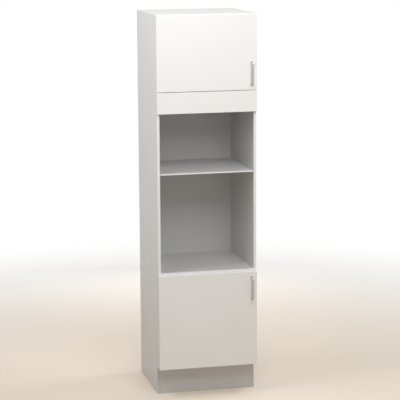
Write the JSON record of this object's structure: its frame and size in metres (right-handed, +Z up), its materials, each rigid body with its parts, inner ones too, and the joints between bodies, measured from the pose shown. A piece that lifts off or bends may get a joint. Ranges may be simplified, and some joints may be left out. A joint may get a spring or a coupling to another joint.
{
  "type": "microwave cabinet",
  "caption": "Tall white kitchen cabinet with an open oven niche, an open microwave niche above it, and a hinged cupboard door at the top and at the bottom.",
  "frame": {"origin": "on the floor, in the middle of the bounding box, handles included", "axes": "+Z up, the fronts face -Y, the doors are hinged on the -X side"},
  "size_m": [0.6, 0.615, 2.278],
  "materials": {
    "white_board": "white melamine-faced board, satin",
    "white_front": "smooth white front, satin",
    "satin_nickel": "satin nickel plate",
    "hinge_steel": "nickel-plated pressed steel",
    "zinc_steel": "bright zinc plate",
    "beech": "plain beech",
    "clear_rubber": "soft milky buffer",
    "grey_plastic": "moulded, matt"
  },
  "bodies": {
    "carcass": {"left_side": "white_board", "right_side": "white_board", "top_panel": "white_board", "bottom_panel": "white_board", "oven_shelf": "white_board", "cupboard_floor": "white_board", "back_panel": "white_board", "plinth_board": "white_board", "microwave_shelf": "white_board", "upper_shelf": "white_board", "lower_shelf": "white_board", "filler_panel": "white_front", "hinge_plates": "hinge_steel", "hinge_plate_screws": "zinc_steel", "hinge_arms": "hinge_steel", "hinge_arm_pins": "hinge_steel", "hinge_adjusters": "zinc_steel", "cam_locks": "zinc_steel", "cam_bolts": "zinc_steel", "dowels": "beech", "shelf_pins": "zinc_steel", "filler_brackets": "zinc_steel", "filler_screws": "zinc_steel", "plinth_blocks": "grey_plastic", "plinth_screws": "zinc_steel", "back_screws": "zinc_steel", "wall_brackets": "zinc_steel", "wall_bracket_screws": "zinc_steel"},
    "upper_door_leaf": {"upper_door": "white_front", "upper_handle": "satin_nickel", "upper_handle_screws": "zinc_steel", "upper_bumpers": "clear_rubber", "upper_hinge_cups": "hinge_steel", "upper_cup_screws": "zinc_steel", "upper_cup_pins": "hinge_steel"},
    "upper_inner_link_pair": {"upper_inner_links": "hinge_steel"},
    "upper_outer_link_pair": {"upper_outer_links": "hinge_steel", "upper_outer_pins": "hinge_steel"},
    "lower_door_leaf": {"lower_door": "white_front", "lower_handle": "satin_nickel", "lower_handle_screws": "zinc_steel", "lower_bumpers": "clear_rubber", "lower_hinge_cups": "hinge_steel", "lower_cup_screws": "zinc_steel", "lower_cup_pins": "hinge_steel"},
    "lower_inner_link_pair": {"lower_inner_links": "hinge_steel"},
    "lower_outer_link_pair": {"lower_outer_links": "hinge_steel", "lower_outer_pins": "hinge_steel"}
  },
  "joints": [
    {"name": "upper_door_turn", "type": "hinge", "parent": "upper_inner_link_pair", "child": "upper_door_leaf", "pos_m": [-0.2894, -0.2585, 2.054], "axis": [0, 0, -1], "range_deg": [0, 126]},
    {"name": "upper_inner_link_turn", "type": "hinge", "parent": "carcass", "child": "upper_inner_link_pair", "pos_m": [-0.266, -0.234, 2.054], "axis": [0, 0, 1], "range_deg": [0, 26]},
    {"name": "upper_outer_link_turn", "type": "hinge", "parent": "carcass", "child": "upper_outer_link_pair", "pos_m": [-0.26398, -0.26348, 2.054], "axis": [0, 0, 1], "range_deg": [0, 29]},
    {"name": "lower_door_turn", "type": "hinge", "parent": "lower_inner_link_pair", "child": "lower_door_leaf", "pos_m": [-0.2894, -0.2585, 0.454], "axis": [0, 0, -1], "range_deg": [0, 126]},
    {"name": "lower_inner_link_turn", "type": "hinge", "parent": "carcass", "child": "lower_inner_link_pair", "pos_m": [-0.266, -0.234, 0.454], "axis": [0, 0, 1], "range_deg": [0, 26]},
    {"name": "lower_outer_link_turn", "type": "hinge", "parent": "carcass", "child": "lower_outer_link_pair", "pos_m": [-0.26398, -0.26348, 0.454], "axis": [0, 0, 1], "range_deg": [0, 29]}
  ],
  "couplings": [
    {"joint": "upper_inner_link_turn", "follows": "upper_door_turn", "ratio": 0.20635},
    {"joint": "upper_outer_link_turn", "follows": "upper_door_turn", "ratio": 0.23016},
    {"joint": "lower_inner_link_turn", "follows": "lower_door_turn", "ratio": 0.20635},
    {"joint": "lower_outer_link_turn", "follows": "lower_door_turn", "ratio": 0.23016}
  ]
}
